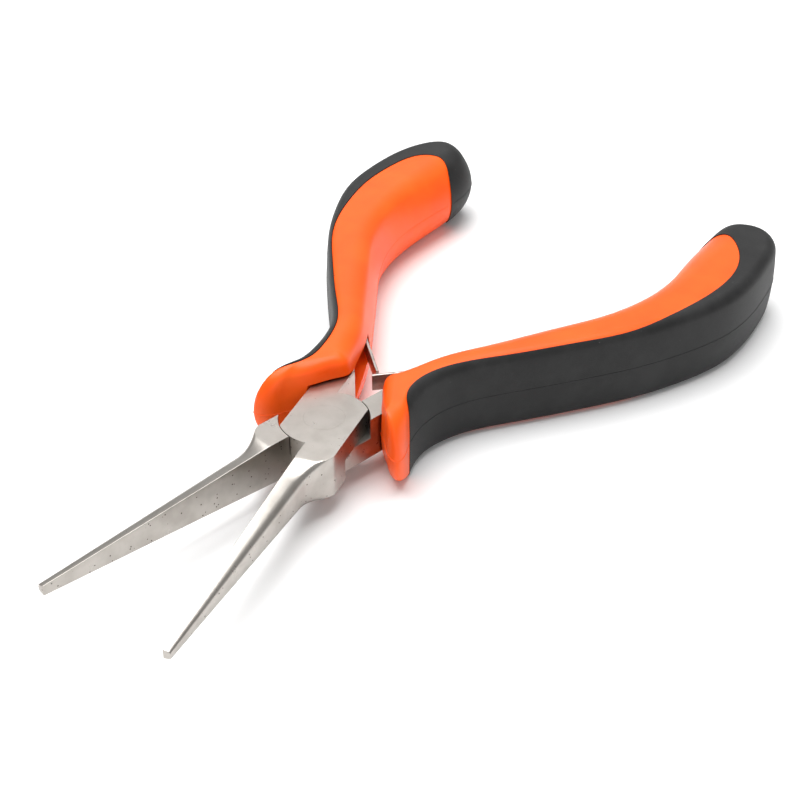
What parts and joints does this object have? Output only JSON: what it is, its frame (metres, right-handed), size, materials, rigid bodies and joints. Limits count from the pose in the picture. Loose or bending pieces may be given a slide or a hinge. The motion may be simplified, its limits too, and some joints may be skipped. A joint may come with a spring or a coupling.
{
  "type": "long nose pliers",
  "caption": "Small hand pliers with long tapering smooth-faced jaws, a flush lap joint, two-part cushioned grips and crossing leaf springs that hold them open.",
  "frame": {"origin": "centre of the pivot rivet's underside, on the flat underside of the lap joint", "axes": "+Z along the pivot axis towards the joint's top face, +Y along the tool's middle line towards the jaw tips, +X to the side of the lower lever's jaw"},
  "size_m": [0.0842, 0.1443, 0.0147],
  "materials": {
    "forged_steel": "satin nickel plated forging, bead blasted, smooth ground jaw faces",
    "rivet_steel": "ground flush with the joint and plated",
    "spring_steel": "bright cold rolled strip",
    "pin_steel": "plain turned pin",
    "grip_shell": "hard orange moulded plastic, fine satin texture",
    "soft_cover": "black soft-touch overmoulding, fine matte texture"
  },
  "bodies": {
    "lower_half": {"lower_lever": "forged_steel", "lower_grip_core": "grip_shell", "lower_grip_cover": "soft_cover", "lower_spring_pin": "pin_steel", "pivot_rivet": "rivet_steel"},
    "upper_half": {"upper_lever": "forged_steel", "upper_grip_core": "grip_shell", "upper_grip_cover": "soft_cover", "upper_spring_pin": "pin_steel"},
    "upper_spring": {"upper_leaf_spring": "spring_steel"},
    "lower_spring": {"lower_leaf_spring": "spring_steel"}
  },
  "joints": [
    {"name": "pivot", "type": "hinge", "parent": "lower_half", "child": "upper_half", "pos_m": [0, 0, 0.00365], "axis": [0, 0, 1], "range_deg": [-24, 16], "stiffness_Nm_per_rad": 0.8},
    {"name": "upper_spring_flex", "type": "hinge", "parent": "upper_half", "child": "upper_spring", "pos_m": [0.01142, -0.02538, 0.00545], "axis": [0, 0, 1], "range_deg": [-13.5, 9]},
    {"name": "lower_spring_flex", "type": "hinge", "parent": "lower_half", "child": "lower_spring", "pos_m": [-0.01142, -0.02538, 0.00545], "axis": [0, 0, 1], "range_deg": [-9, 13.5]}
  ],
  "couplings": [
    {"joint": "upper_spring_flex", "follows": "pivot", "ratio": 0.56},
    {"joint": "lower_spring_flex", "follows": "pivot", "ratio": -0.56}
  ]
}
